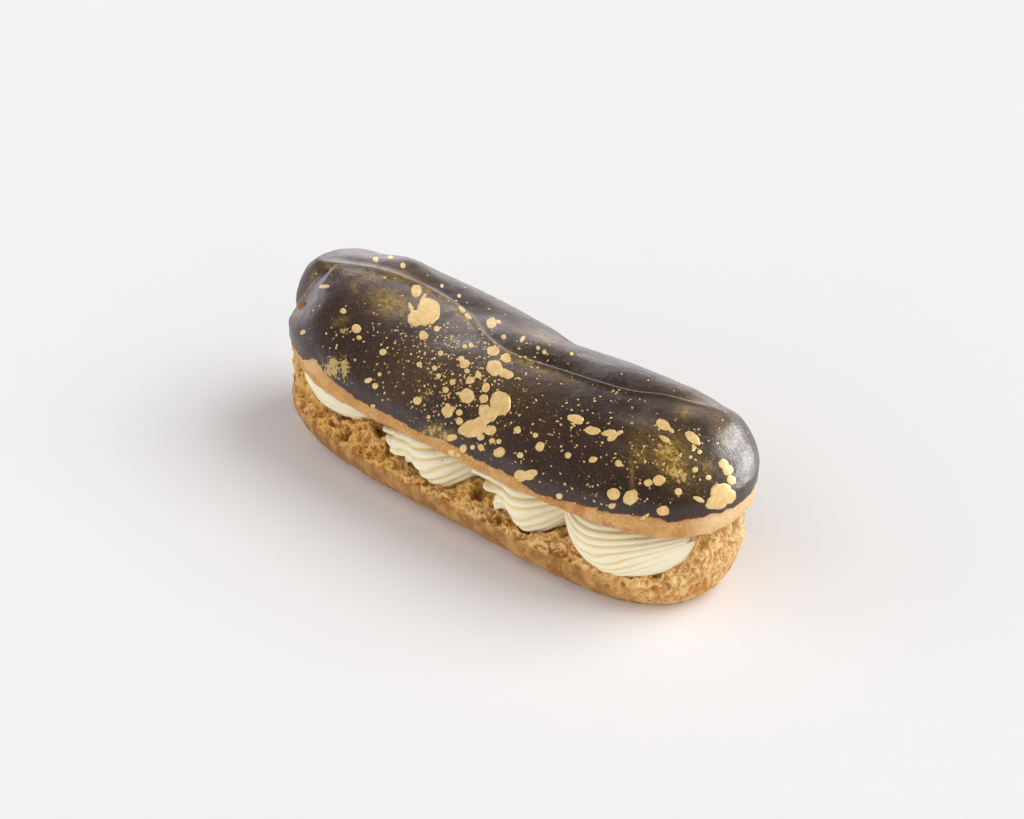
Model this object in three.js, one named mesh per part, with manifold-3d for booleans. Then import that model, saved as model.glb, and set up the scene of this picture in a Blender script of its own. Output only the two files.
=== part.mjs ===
// A chocolate eclair: choux split lengthwise, a row of piped cream and a chocolate top.
// Millimetres, +Z up. +X runs along the eclair and the front is -Y.
// The origin is on the table, under the middle of the eclair.

import * as THREE from 'three';
import Module from 'manifold-3d';

const wasm = await Module();
wasm.setup();

// Driving dimensions

const GAP = 0.3; // clearance between neighbouring pieces

const BASE = {
  middle: [-1.3, 0.5],
  halfLength: 69.8,
  halfWidth: 25.4,
  endPower: 4,
  sidePower: 2.2,
  spine: [-44, 44], // the straight stretch that the rings close on
  sides: 96,
  endRise: [61.5, 69], // where the rim climbs towards the lid, from the middle
  rightDip: [-20, -9], // the front corner of the right end, where it stays low
};

// From the middle of the underside to the middle of the torn face on top.
// Each point is [share of the way out, height].
const BASE_SIDE_PROFILE = [
  [0, 0], [0.68, 0], [0.77, 0.7], [0.86, 2.5], [0.94, 5], [0.985, 7.6], [1, 9.6], [0.98, 11.2],
  [0.94, 12.2], [0.9, 13.2], [0.85, 14.4], [0.8, 15.5], [0.74, 16.2], [0.64, 16.4], [0, 16],
];
const BASE_END_PROFILE = [
  [0, 0], [0.68, 0], [0.78, 0.7], [0.87, 2.6], [0.93, 5.4], [0.98, 9], [1, 13], [0.995, 17.5],
  [0.985, 21.8], [0.965, 24.2], [0.93, 23.4], [0.89, 21], [0.84, 18.4], [0.7, 16.6], [0, 16],
];
// The stretches of those profiles that are smooth crust and torn crumb, as steps.
const CRUST_STEPS = [1, 3, 5, 8];
const TORN_STEPS = [6, 9];
const FILLED_STEPS = [7, 12];
const RIM_STEPS = [6, 8];

// How much the torn crumb stands above or lies below its even level, as [x, height]:
// it is pressed down under each swirl.
const CRUMB_LEVEL = [
  [-66, 0], [-54, -1.5], [-42, -1.5], [-34, 2], [-28, 0], [-18, -5], [-4, -5], [4, -1], [9, -2],
  [17, -4.4], [27, -4.4], [34, -2], [44, -5], [58, -5], [66, -2],
];

const LID = {
  halfLength: 71.3,
  halfWidth: 26.5,
  endPower: 3.9,
  sidePower: 2.2,
  leftTaper: 0.08, // how much narrower the left end is
  taperFrom: [40, 72], // where it narrows, to the left of the middle
  leftBulge: 0.45, // how blunt the back lobe of the left end is
  leftSlope: 0.45, // how sloping its front lobe is
  lobesFrom: [50, 66], // where the lobes begin, to the left of the middle
  lobesMeet: [-12, -1], // and the strip where the front one passes into the back one
  rightLift: 1.3, // how much higher the right end lies
  liftFrom: [20, 62],
  spine: [-58, 53],
  sides: 92,
  equatorZ: 27.4, // the widest level
  rise: 18.3, // from the widest level to the crest
};
// From the middle of the underside to just below the widest level, round the lid's low lip.
const LID_UNDERSIDE = [[0, 26], [0.84, 25.5], [0.94, 24.8], [0.985, 25.7]];

const ICING = {
  thickness: 1,
  edgeZ: [[-72, 29.2], [-56, 29.8], [-20, 31], [30, 31.2], [50, 32], [72, 32.4]], // as [x, height]
  bareX: -47, // the middle of a patch that the icing missed
  bareReach: 3.5,
  bareHeight: 2.6,
  steps: 9, // rings from the edge to the crest
};

// The long crack that the lid rose along, as [x, y] seen from above.
const CREASE = [
  [-66, -4], [-58, -1.5], [-48, 2.5], [-38, 5], [-28, 5.6], [-19, 4], [-8, -1.2], [2, -3.2],
  [16, -0.8], [36, 3], [44, 7], [53, 11],
];

// How far the valley behind the crease drops, as [x, depth].
const VALLEY = [[-50, 0], [-25, 0.8], [-8, 1.8], [12, 3.2], [26, 2.4], [38, 2.2], [48, 1.2], [57, 0]];
const VALLEY_WIDTH = 4;

// Height of the crest along the lid, as [x, height over the even crest].
const CREST = [[-64, 1], [-52, 1.2], [-36, 0.3], [-10, 0], [20, 0], [45, -0.2], [62, -0.6]];

// Swells (+) and dents (-) of the lid, as hills on its top.
const SWELLS = [
  { x: -64, y: 9, reachX: 10, reachY: 9, height: -0.6 },
  { x: -63, y: -12, reachX: 8, reachY: 7, height: -2.4 },
  { x: -22, y: 17, reachX: 20, reachY: 9, height: -1 },
  { x: 30, y: 14, reachX: 20, reachY: 7, height: 0.2 },
  { x: -2, y: 19, reachX: 6, reachY: 8, height: -1.6 },
  { x: 39, y: -14, reachX: 8, reachY: 9, height: -1.1 },
  { x: 57, y: -9, reachX: 9, reachY: 8, height: 0.7 },
  { x: 13, y: -13, reachX: 16, reachY: 9, height: 0.5 },
  { x: -47, y: 11, reachX: 11, reachY: 9, height: 1.2 },
];

// The pinch between the two lobes of the lid's left end.
const PINCH = { y: -6.5, reach: 3.4, depth: 3.8, from: [56, 68] };

const CREAM = {
  topZ: 27,
  ridges: 20, // grooves of the piping nozzle round one swirl
  ridgeDepth: 0.055, // share of the swirl's size
  stations: 10, // rings along a swirl
  crowding: 1.4, // over 1 brings them closer together towards the tail
  squareness: 0.8, // under 1 fills the corners of a swirl's section
  headStart: 0.12, // where on its outline the head begins
  headEnds: [0.3, 0.5], // where along the swirl the head passes into the body
  roundHead: [0.62, 0.62], // width and height of the first ring of a round head
  bluntHead: [0.92, 0.8], // and of a blunt head
  headHollow: 2.5, // how far the middle of a blunt head lies behind its teeth
  hangs: 0.6, // how far a narrow ring keeps to the top
};

// Each swirl runs from its head to its tail, which lies under the next head. The foot of the
// head leans this far back, and a blunt head shows the ends of its ridges as teeth. A small
// taper keeps the swirl full towards its tail.
const SWIRLS = [
  { head: -66, tail: -23, halfWidth: 20.5, bottomZ: 12, lean: 6, blunt: 0, taper: 0.6 },
  { head: -32, tail: 10, halfWidth: 24.5, bottomZ: 8, lean: 20, blunt: 1, taper: 0.6 },
  { head: 1.5, tail: 38, halfWidth: 24, bottomZ: 8, lean: 18, blunt: 1, taper: 0.6 },
  { head: 28, tail: 67.5, halfWidth: 23, bottomZ: 7, lean: 8, blunt: 0, taper: 0.42 },
];

// Small functions

const clamp = (value, low, high) => Math.min(Math.max(value, low), high);
const mix = (a, b, share) => a + (b - a) * share;
const bell = (distance, width) => Math.exp(-((distance / width) ** 2));

function ramp(from, to, value) {
  const share = clamp((value - from) / (to - from), 0, 1);
  return share * share * (3 - 2 * share);
}

// A smooth curve y(x) through a few [x, y] points.
function curveThrough(points, x) {
  const last = points.length - 1;
  if (x <= points[0][0]) return points[0][1];
  if (x >= points[last][0]) return points[last][1];
  let k = 0;
  while (points[k + 1][0] < x) k += 1;
  const slope = (n) => {
    const before = points[Math.max(n - 1, 0)];
    const after = points[Math.min(n + 1, last)];
    return (after[1] - before[1]) / (after[0] - before[0]);
  };
  const span = points[k + 1][0] - points[k][0];
  const t = (x - points[k][0]) / span;
  return (2 * t ** 3 - 3 * t ** 2 + 1) * points[k][1] + (t ** 3 - 2 * t ** 2 + t) * span * slope(k)
    + (3 * t ** 2 - 2 * t ** 3) * points[k + 1][1] + (t ** 3 - t ** 2) * span * slope(k + 1);
}

// An oval |x/a|^endPower + |y/b|^sidePower = 1 as evenly spaced points, from +X anticlockwise.
function evenOval({ halfLength, halfWidth, endPower, sidePower }, sides) {
  const fineSteps = 2000;
  const fine = [];
  for (let k = 0; k <= fineSteps; k += 1) {
    const angle = (k / fineSteps) * (Math.PI / 2);
    const x = halfLength * Math.cos(angle) ** (2 / endPower);
    const y = halfWidth * Math.sin(angle) ** (2 / sidePower);
    const run = k ? fine[k - 1].run + Math.hypot(x - fine[k - 1].x, y - fine[k - 1].y) : 0;
    fine.push({ x, y, run });
  }
  const quarter = sides / 4;
  const corner = [];
  let k = 0;
  for (let n = 0; n <= quarter; n += 1) {
    const run = (fine[fineSteps].run * n) / quarter;
    while (k < fineSteps && fine[k].run < run) k += 1;
    corner.push([fine[k].x, fine[k].y]);
  }
  corner[quarter][0] = 0;
  const points = [];
  for (let n = 0; n < sides; n += 1) {
    const turn = Math.floor(n / quarter);
    const step = n - turn * quarter;
    const [x, y] = corner[turn % 2 ? quarter - step : step];
    points.push([turn === 1 || turn === 2 ? -x : x, turn > 1 ? -y : y]);
  }
  return points;
}

// Closes rings of equally many points into one solid. The first and last ring may be
// folded flat on a spine or a point: points that coincide are merged there.
function ringSolid(rings) {
  const places = new Map();
  const vertices = [];
  const vertex = (point) => {
    const key = point.map((value) => Math.round(value * 1e4)).join();
    if (!places.has(key)) {
      places.set(key, vertices.length / 3);
      vertices.push(...point.map((value) => Math.round(value * 1e4) / 1e4));
    }
    return places.get(key);
  };
  const index = [];
  const face = (a, b, c) => {
    if (a !== b && b !== c && c !== a) index.push(a, b, c);
  };
  for (let k = 0; k + 1 < rings.length; k += 1) {
    const lower = rings[k].map(vertex);
    const upper = rings[k + 1].map(vertex);
    for (let n = 0; n < lower.length; n += 1) {
      const next = (n + 1) % lower.length;
      face(lower[n], lower[next], upper[next]);
      face(lower[n], upper[next], upper[n]);
    }
  }
  const geometry = new THREE.BufferGeometry();
  geometry.setAttribute('position', new THREE.Float32BufferAttribute(vertices, 3));
  geometry.setIndex(index);
  return geometry;
}

// A copy with every point pushed out along its normal.
function inflated(geometry, distance) {
  const copy = geometry.clone();
  copy.computeVertexNormals();
  const { position, normal } = copy.attributes;
  for (let n = 0; n < position.count; n += 1) {
    position.setXYZ(
      n,
      position.getX(n) + distance * normal.getX(n),
      position.getY(n) + distance * normal.getY(n),
      position.getZ(n) + distance * normal.getZ(n),
    );
  }
  return copy;
}

function toManifold(geometry) {
  return new wasm.Manifold(new wasm.Mesh({
    numProp: 3,
    vertProperties: geometry.attributes.position.array,
    triVerts: new Uint32Array(geometry.index.array),
  }));
}

function fromManifold(solid) {
  const mesh = solid.getMesh();
  const geometry = new THREE.BufferGeometry();
  geometry.setAttribute('position', new THREE.Float32BufferAttribute(mesh.vertProperties, 3));
  geometry.setIndex([...mesh.triVerts]);
  return geometry;
}

// How much higher the lid lies towards its right end.
const lidLift = (x) => LID.rightLift * ramp(...LID.liftFrom, x);

// The choux base: a crust below, torn crumb above, and a rim that climbs at both ends

// Tears and bubbles of the open crumb.
function crumbRelief(x, y) {
  return 0.45 * Math.sin(x / 1.9 + 0.8 * Math.sin(y / 2.3)) * Math.sin(y / 1.7 + 1.3)
    + 0.35 * Math.sin(x / 3.7 + y / 2.9 + 2)
    + 0.25 * Math.sin(x / 1.1 - y / 1.6);
}

// Slow swells of the baked crust.
function crustRelief(x, y) {
  return 0.3 * Math.sin(x / 9 + 1) * Math.sin(y / 7 + 0.5) + 0.2 * Math.sin(x / 4.3 + y / 6);
}

// How far the rim has climbed towards the lid, from 0 to 1.
function endRise([x, y]) {
  const dip = x > 0 ? ramp(...BASE.rightDip, y) : 1;
  return ramp(...BASE.endRise, Math.abs(x)) * dip;
}

function basePoint(outer, step) {
  const [sideShare, sideZ] = BASE_SIDE_PROFILE[step];
  const [endShare, endZ] = BASE_END_PROFILE[step];
  const end = sideShare ? endRise(outer) : 0;
  const share = mix(sideShare, endShare, end);
  const spineX = clamp(outer[0], ...BASE.spine);
  const x = mix(spineX, outer[0], share) + BASE.middle[0];
  const y = outer[1] * share + BASE.middle[1];
  const z = mix(sideZ, endZ + ramp(...RIM_STEPS, step) * lidLift(x), end);
  if (z === 0) return [x, y, z];
  const crust = ramp(...CRUST_STEPS.slice(0, 2), step) * (1 - ramp(...CRUST_STEPS.slice(2), step));
  const bulge = (crust * crustRelief(x, y)) / BASE.halfWidth;
  const torn = ramp(...TORN_STEPS, step) * ramp(0.3, 0.6, share) * (1 - 0.6 * end);
  const level = curveThrough(CRUMB_LEVEL, x) * ramp(...FILLED_STEPS, step) * (1 - end);
  return [
    mix(x, outer[0] + BASE.middle[0], bulge),
    y * (1 + bulge),
    z + torn * crumbRelief(x, y) + level,
  ];
}

function chouxBase() {
  const oval = evenOval(BASE, BASE.sides);
  return ringSolid(BASE_SIDE_PROFILE.map((_, step) => oval.map((outer) => basePoint(outer, step))));
}

// The choux lid: a long dome, cracked along its top and pinched at its left end

const creaseY = (x) => curveThrough(CREASE, x);

function lidRelief(x, y) {
  const behind = y - creaseY(x);
  let height = curveThrough(CREST, x);
  if (behind > 0) {
    const away = behind / VALLEY_WIDTH;
    height -= curveThrough(VALLEY, x) * away * Math.exp(1 - away);
  }
  for (const hill of SWELLS) {
    height += hill.height * bell(x - hill.x, hill.reachX) * bell(y - hill.y, hill.reachY);
  }
  return height;
}

function lidOval(grow) {
  const oval = evenOval({
    ...LID,
    halfLength: LID.halfLength + grow,
    halfWidth: LID.halfWidth + grow,
  }, LID.sides);
  return oval.map(([x, y]) => {
    const pinch = PINCH.depth * ramp(...PINCH.from, -x) * bell(y - PINCH.y, PINCH.reach);
    return [x + pinch, y * (1 - LID.leftTaper * ramp(...LID.taperFrom, -x))];
  });
}

function lidSpine(outer) {
  const x = clamp(outer[0], ...LID.spine);
  return [x, creaseY(x)];
}

// A point of the dome: angle 0 is the widest level and a right angle is the crest.
function domePoint(outer, angle, grow) {
  const [spineX, spineY] = lidSpine(outer);
  const lobe = mix(-LID.leftSlope, LID.leftBulge, ramp(...LID.lobesMeet, outer[1]));
  const share = Math.max(Math.cos(angle), 0) ** (1 - lobe * ramp(...LID.lobesFrom, -outer[0]));
  const x = mix(spineX, outer[0], share);
  const y = mix(spineY, outer[1], share);
  const fade = Math.sin(angle) ** 1.5;
  const height = (LID.rise + grow) * Math.sin(angle) + lidRelief(x, y) * fade;
  return [x, y, LID.equatorZ + lidLift(x) + height];
}

function lidUnderside(outer, [share, z]) {
  const x = mix(clamp(outer[0], ...LID.spine), outer[0], share);
  return [x, outer[1] * share, z + lidLift(x)];
}

// The edge waves a little and stays high over one bare patch at the left.
function icingEdgeZ(x, y) {
  return curveThrough(ICING.edgeZ, x) + 0.35 * Math.sin(x / 3.1 + y / 5) + 0.3 * Math.sin(x / 7.7 + 1)
    + ICING.bareHeight * bell(x - ICING.bareX, ICING.bareReach) * ramp(0, 10, -y);
}

// The angles of the rings from the icing's edge up to the crest.
function icingAngles(outer) {
  const edge = Math.asin((icingEdgeZ(...outer) - LID.equatorZ - lidLift(outer[0])) / LID.rise);
  return Array.from({ length: ICING.steps + 1 }, (_, k) => mix(edge, Math.PI / 2, k / ICING.steps));
}

function chouxLid() {
  const oval = lidOval(0);
  const underside = LID_UNDERSIDE.map((corner) => oval.map((outer) => lidUnderside(outer, corner)));
  const widest = oval.map((outer) => domePoint(outer, 0, 0));
  return ringSolid([...underside, widest, ...icingRings(0)]);
}

// The chocolate icing: a thin coat over the dome that ends in an uneven edge

// The dome from the icing's edge to the crest, this much outside the choux.
function icingRings(grow) {
  const oval = lidOval(grow);
  const rings = [];
  for (let k = 0; k <= ICING.steps; k += 1) {
    rings.push(oval.map((outer) => domePoint(outer, icingAngles(outer)[k], grow)));
  }
  return rings;
}

function chocolateIcing() {
  const inside = icingRings(GAP).reverse();
  const outside = icingRings(GAP + ICING.thickness);
  return ringSolid([...inside, ...outside]);
}

// The cream filling: star-shaped swirls in a row, fused, and shaped by the choux round them

function swirl({ head, tail, halfWidth, bottomZ, lean, blunt, taper }) {
  const midZ = (CREAM.topZ + bottomZ) / 2;
  const halfHeight = (CREAM.topZ - bottomZ) / 2;
  const rounded = (value) => Math.sign(value) * Math.abs(value) ** CREAM.squareness;
  const rings = [];
  for (let k = 0; k <= CREAM.stations; k += 1) {
    const along = 1 - (1 - k / CREAM.stations) ** CREAM.crowding;
    const full = Math.max(Math.sin(Math.PI * mix(CREAM.headStart, 1, along)), 0) ** taper;
    const early = 1 - ramp(...CREAM.headEnds, along);
    const closed = k === 0 || k === CREAM.stations ? 0 : 1;
    const wide = closed * Math.max(full, early * mix(CREAM.roundHead[0], CREAM.bluntHead[0], blunt));
    const tall = closed * Math.max(full, early * mix(CREAM.roundHead[1], CREAM.bluntHead[1], blunt));
    const ring = [];
    for (let n = 0; n < 2 * CREAM.ridges; n += 1) {
      const angle = (n / CREAM.ridges) * Math.PI;
      const ridge = 1 + CREAM.ridgeDepth * (n % 2 ? -1 : 1);
      const drop = (1 - tall) * CREAM.hangs + tall * ridge * rounded(Math.sin(angle));
      const z = midZ + halfHeight * drop;
      const slant = lean * (1 - along) ** 2 * ((CREAM.topZ - z) / (2 * halfHeight));
      const hollow = k === 0 ? CREAM.headHollow * blunt : 0;
      ring.push([
        mix(head, tail, along) + slant + hollow,
        halfWidth * wide * ridge * rounded(Math.cos(angle)),
        z,
      ]);
    }
    rings.push(ring);
  }
  return ringSolid(rings);
}

function creamFilling() {
  let cream = toManifold(swirl(SWIRLS[0]));
  for (const next of SWIRLS.slice(1)) cream = cream.add(toManifold(swirl(next)));
  cream = cream.subtract(toManifold(inflated(chouxBase(), GAP)));
  cream = cream.subtract(toManifold(inflated(chouxLid(), GAP)));
  return fromManifold(cream);
}

// The pieces

function piece(name, geometry, colour, roughness) {
  const material = new THREE.MeshStandardMaterial({ color: colour, roughness, metalness: 0 });
  const mesh = new THREE.Mesh(geometry, material);
  mesh.name = name;
  return mesh;
}

const eclair = new THREE.Group();
eclair.add(piece('choux_base', chouxBase(), 0xb98449, 0.75));
eclair.add(piece('cream_filling', creamFilling(), 0xf0e6c8, 0.5));
eclair.add(piece('choux_lid', chouxLid(), 0xd3a273, 0.75));
eclair.add(piece('chocolate_icing', chocolateIcing(), 0x3a2c25, 0.35));

export default eclair;
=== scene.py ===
import math

import bmesh
import bpy
import numpy as np
from mathutils import Matrix, Vector
from mathutils.bvhtree import BVHTree


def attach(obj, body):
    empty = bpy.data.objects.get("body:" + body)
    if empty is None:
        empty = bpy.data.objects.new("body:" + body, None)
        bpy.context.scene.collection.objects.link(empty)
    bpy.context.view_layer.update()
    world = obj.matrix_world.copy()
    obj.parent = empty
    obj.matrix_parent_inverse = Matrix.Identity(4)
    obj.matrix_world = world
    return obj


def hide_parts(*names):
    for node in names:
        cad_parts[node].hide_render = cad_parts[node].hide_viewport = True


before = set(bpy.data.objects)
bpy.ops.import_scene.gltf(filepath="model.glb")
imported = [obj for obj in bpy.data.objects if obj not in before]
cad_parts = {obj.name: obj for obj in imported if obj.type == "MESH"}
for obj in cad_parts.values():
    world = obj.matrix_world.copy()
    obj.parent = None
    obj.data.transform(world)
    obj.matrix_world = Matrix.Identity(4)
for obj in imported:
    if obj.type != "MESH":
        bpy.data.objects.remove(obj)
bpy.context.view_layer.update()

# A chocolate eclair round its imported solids. Shapes are worked out in millimetres, in the frame
# of the solids: +X along the eclair, -Y to the front, +Z up. Meshes are made in metres.

MM = 0.001

# The camera, as the photograph was taken
IMAGE_WIDTH = 1024
IMAGE_HEIGHT = 819
LENS = 85
SENSOR = 36
CAMERA_AT = (330.3, -389.1, 371.5)
CAMERA_AIM = (-15.8, 18.9, 10.0)
CAMERA_ROLL = 0.75

# The solids' own driving values

BASE = dict(half_length=69.8, half_width=25.4, end_power=4, side_power=2.2)
BASE_MIDDLE = (-1.3, 0.5)
BASE_SPINE = (-44, 44)
BASE_END_RISE = (61.5, 69)
BASE_RIGHT_DIP = (-20, -9)
BASE_SIDE_PROFILE = [
    (0, 0), (0.68, 0), (0.77, 0.7), (0.86, 2.5), (0.94, 5), (0.985, 7.6), (1, 9.6), (0.98, 11.2),
    (0.94, 12.2), (0.9, 13.2), (0.85, 14.4), (0.8, 15.5), (0.74, 16.2), (0.64, 16.4), (0, 16),
]
BASE_END_PROFILE = [
    (0, 0), (0.68, 0), (0.78, 0.7), (0.87, 2.6), (0.93, 5.4), (0.98, 9), (1, 13), (0.995, 17.5),
    (0.985, 21.8), (0.965, 24.2), (0.93, 23.4), (0.89, 21), (0.84, 18.4), (0.7, 16.6), (0, 16),
]
CRUMB_LEVEL = [
    (-66, 0), (-54, -1.5), (-42, -1.5), (-34, 2), (-28, 0), (-18, -5), (-4, -5), (4, -1), (9, -2),
    (17, -4.4), (27, -4.4), (34, -2), (44, -5), (58, -5), (66, -2),
]

LID = dict(half_length=71.3, half_width=26.5, end_power=3.9, side_power=2.2)
LID_SPINE = (-58, 53)
LEFT_TAPER = 0.08
LEFT_TAPER_FROM = (40, 72)
LEFT_BULGE = 0.45
LEFT_SLOPE = 0.45
LEFT_LOBES_FROM = (50, 66)
LEFT_LOBES_MEET = (-18, -3)
RIGHT_LIFT = 1.3
RIGHT_LIFT_FROM = (20, 62)
EQUATOR_Z = 27.4
LID_RISE = 18.3
LID_UNDERSIDE = [(0, 26), (0.84, 25.5), (0.94, 24.8), (0.985, 25.7)]

ICING_THICKNESS = 1.0
ICING_CLEARANCE = 0.3
ICING_EDGE_Z = [(-72, 29.2), (-56, 29.8), (-20, 31), (30, 31.2), (50, 32), (72, 32.4)]
BARE_X = -46.5
BARE_REACH = 4.2
BARE_HEIGHT = 2.6

CREASE = [
    (-66, -4), (-58, -1.5), (-48, 2.5), (-38, 5), (-28, 5.6), (-19, 4), (-8, -1.2), (2, -3.2),
    (16, -0.8), (36, 3), (44, 7), (53, 11),
]
VALLEY = [(-50, 0), (-25, 0.8), (-8, 1.8), (12, 3.2), (26, 2.4), (38, 2.2), (48, 1.2), (57, 0)]
VALLEY_WIDTH = 4
CREST = [(-64, 1), (-52, 1.2), (-36, 0.3), (-10, 0), (20, 0), (45, -0.2), (62, -0.6)]

# Swells (+) and dents (-) of the lid: x, y, reach along x, reach along y, height
SWELLS = [
    (-64, 9, 10, 9, -0.6), (-63, -12, 8, 7, -2.4), (-22, 17, 20, 9, -1), (30, 14, 20, 7, 0.2),
    (-2, 19, 6, 8, -1.6), (39, -14, 8, 9, -1.1), (57, -9, 9, 8, 0.7), (13, -13, 16, 9, 0.5),
    (-47, 11, 11, 9, 1.2),
]
PINCH_Y = -11
PINCH_REACH = 2.8
PINCH_DEPTH = 4.8
PINCH_FROM = (56, 68)

CREAM_TOP_Z = 27
SQUARENESS = 0.8
HEAD_START = 0.12
HEAD_ENDS = (0.3, 0.5)
ROUND_HEAD = (0.62, 0.62)
BLUNT_HEAD = (0.92, 0.8)
HEAD_HOLLOW = 2.5
HANGS = 0.6

# Each swirl: head, tail, half width, bottom, lean of the head, bluntness, taper
SWIRLS = [
    (-66, -18.5, 20.5, 12, 6, 0, 0.55), (-28.7, 10, 24.5, 8, 19, 1, 0.6), (5, 38, 24, 8, 16, 1, 0.6),
    (28, 66, 23, 7, 8, 0, 0.36),
]


# Small functions

def mix(a, b, share):
    return a + (b - a) * share


def ramp(low, high, value):
    share = np.clip((value - low) / (high - low), 0, 1)
    return share * share * (3 - 2 * share)


def bell(distance, width):
    return np.exp(-((distance / width) ** 2))


def curve_through(points, x):
    """A smooth curve y(x) through a few points, level past its ends."""
    px, py = np.array(points, float).T
    before = np.maximum(np.arange(len(px)) - 1, 0)
    after = np.minimum(np.arange(len(px)) + 1, len(px) - 1)
    slope = (py[after] - py[before]) / (px[after] - px[before])
    x = np.clip(x, px[0], px[-1])
    k = np.clip(np.searchsorted(px, x, side="right") - 1, 0, len(px) - 2)
    span = px[k + 1] - px[k]
    t = (x - px[k]) / span
    return (
        (2 * t**3 - 3 * t**2 + 1) * py[k]
        + (t**3 - 2 * t**2 + t) * span * slope[k]
        + (3 * t**2 - 2 * t**3) * py[k + 1]
        + (t**3 - t**2) * span * slope[k + 1]
    )


def even_oval(sides, half_length, half_width, end_power, side_power):
    """An oval |x/a|^end_power + |y/b|^side_power = 1 as evenly spaced points, from +X anticlockwise."""
    angle = np.linspace(0, 2 * math.pi, 16001)
    c, s = np.cos(angle), np.sin(angle)
    x = half_length * np.sign(c) * np.abs(c) ** (2 / end_power)
    y = half_width * np.sign(s) * np.abs(s) ** (2 / side_power)
    run = np.concatenate([[0], np.cumsum(np.hypot(np.diff(x), np.diff(y)))])
    at = np.arange(sides) / sides * run[-1]
    return np.interp(at, run, x), np.interp(at, run, y)


def hashed(cells, seed):
    """A number from 0 to 1 for each whole-numbered cell."""
    n = cells.astype(np.int64).astype(np.uint32)
    h = n[..., 0] * np.uint32(374761393) + n[..., 1] * np.uint32(668265263)
    h = h + n[..., 2] * np.uint32(2246822519) + np.uint32((seed * 3266489917) & 0xFFFFFFFF)
    h = (h ^ (h >> np.uint32(13))) * np.uint32(1274126177)
    h = (h ^ (h >> np.uint32(16))) * np.uint32(2654435761)
    return (h ^ (h >> np.uint32(15))).astype(float) / 4294967295


def noise(points, size, seed=0):
    """Smooth random values from -1 to 1 that change over this size."""
    p = points / size
    low = np.floor(p)
    f = p - low
    f = f * f * f * (f * (f * 6 - 15) + 10)
    total = 0
    for corner in np.ndindex(2, 2, 2):
        weight = np.prod([f[..., k] if corner[k] else 1 - f[..., k] for k in range(3)], axis=0)
        total = total + weight * hashed(low + np.array(corner), seed)
    return 2 * total - 1


def fractal(points, size, seed=0, octaves=3):
    return sum(noise(points, size / 2**k, seed + k) / 2**k for k in range(octaves))


def bubbles(points, size, seed=0):
    """Distance to the nearest and second nearest of many scattered points, in cell sizes."""
    p = points / size
    low = np.floor(p)
    nearest = np.full(p.shape[:-1], 9.0)
    second = nearest.copy()
    for step in np.ndindex(3, 3, 3):
        cell = low + (np.array(step) - 1)
        spot = np.stack([hashed(cell, seed + 7 * k) for k in range(3)], -1)
        distance = np.linalg.norm(cell + spot - p, axis=-1)
        second = np.minimum(second, np.maximum(nearest, distance))
        nearest = np.minimum(nearest, distance)
    return nearest, second


def grid_normals(grid):
    """Unit normals of a closed grid of rings by sides, pointing out."""
    along = np.roll(grid, -1, axis=1) - np.roll(grid, 1, axis=1)
    up = np.gradient(grid, axis=0)
    normal = np.cross(along, up)
    return normal / np.maximum(np.linalg.norm(normal, axis=-1, keepdims=True), 1e-9)


def placed(name, data):
    """A new object with this data, in the scene."""
    made = bpy.data.objects.new(name, data)
    bpy.context.scene.collection.objects.link(made)
    return made


def shade_smooth(mesh):
    mesh.polygons.foreach_set("use_smooth", np.ones(len(mesh.polygons), bool))


def mark(mesh, name, values):
    """Gives each point of the mesh a value that its material reads."""
    attribute = mesh.attributes.new(name, "FLOAT", "POINT")
    attribute.data.foreach_set("value", np.asarray(values, np.float32))


def grid_mesh(name, grid, values):
    """A closed mesh of rings by sides, in millimetres. Points that coincide are merged."""
    rings, sides = grid.shape[:2]
    points = np.round(grid.reshape(-1, 3), 4)
    unique, first, index = np.unique(points, axis=0, return_index=True, return_inverse=True)
    index = index.reshape(rings, sides)
    a, b = index[:-1], index[1:]
    quads = np.stack([a, np.roll(a, -1, 1), np.roll(b, -1, 1), b], -1).reshape(-1, 4)
    following = np.roll(quads, -1, axis=1)
    kinds = (quads != following).sum(1)
    faces = quads[kinds == 4].tolist()
    for quad in quads[kinds == 3]:
        faces.append([v for v, after in zip(quad, np.roll(quad, -1)) if v != after])
    mesh = bpy.data.meshes.new(name)
    mesh.from_pydata((unique * MM).tolist(), [], faces)
    shade_smooth(mesh)
    for key, value in values.items():
        mark(mesh, key, value.reshape(-1)[first])
    mesh.validate()
    return placed(name, mesh)


def finish_piece(piece, material, slot, *nodes):
    """Gives a piece its material and its place on the body, and hides the nodes that it stands for."""
    piece.data.materials.clear()
    piece.data.materials.append(material)
    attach(piece, "root")
    if nodes:
        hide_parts(*nodes)
    return piece


# Materials

def srgb(red, green, blue):
    """A colour given as it looks on a screen, 0 to 255, as linear light."""
    values = [c / 255 for c in (red, green, blue)]
    return tuple(c / 12.92 if c <= 0.04045 else ((c + 0.055) / 1.055) ** 2.4 for c in values) + (1,)


class Nodes:
    """A node tree that is built node by node."""

    def __init__(self, tree):
        self.tree = tree

    def node(self, kind, inputs=None, **settings):
        made = self.tree.nodes.new("ShaderNode" + kind)
        for key, value in settings.items():
            setattr(made, key, value)
        for key, value in (inputs or {}).items():
            self.put(made.inputs[key], value)
        return made

    def put(self, socket, value):
        if isinstance(value, bpy.types.NodeSocket):
            self.tree.links.new(value, socket)
        else:
            socket.default_value = value

    def ramp(self, value, low, high, to_low=0.0, to_high=1.0):
        inputs = {"Value": value, "From Min": low, "From Max": high, "To Min": to_low, "To Max": to_high}
        return self.node("MapRange", inputs, interpolation_type="SMOOTHSTEP").outputs["Result"]

    def blend(self, share, a, b):
        return self.node("Mix", {0: share, 6: a, 7: b}, data_type="RGBA").outputs[2]


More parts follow.
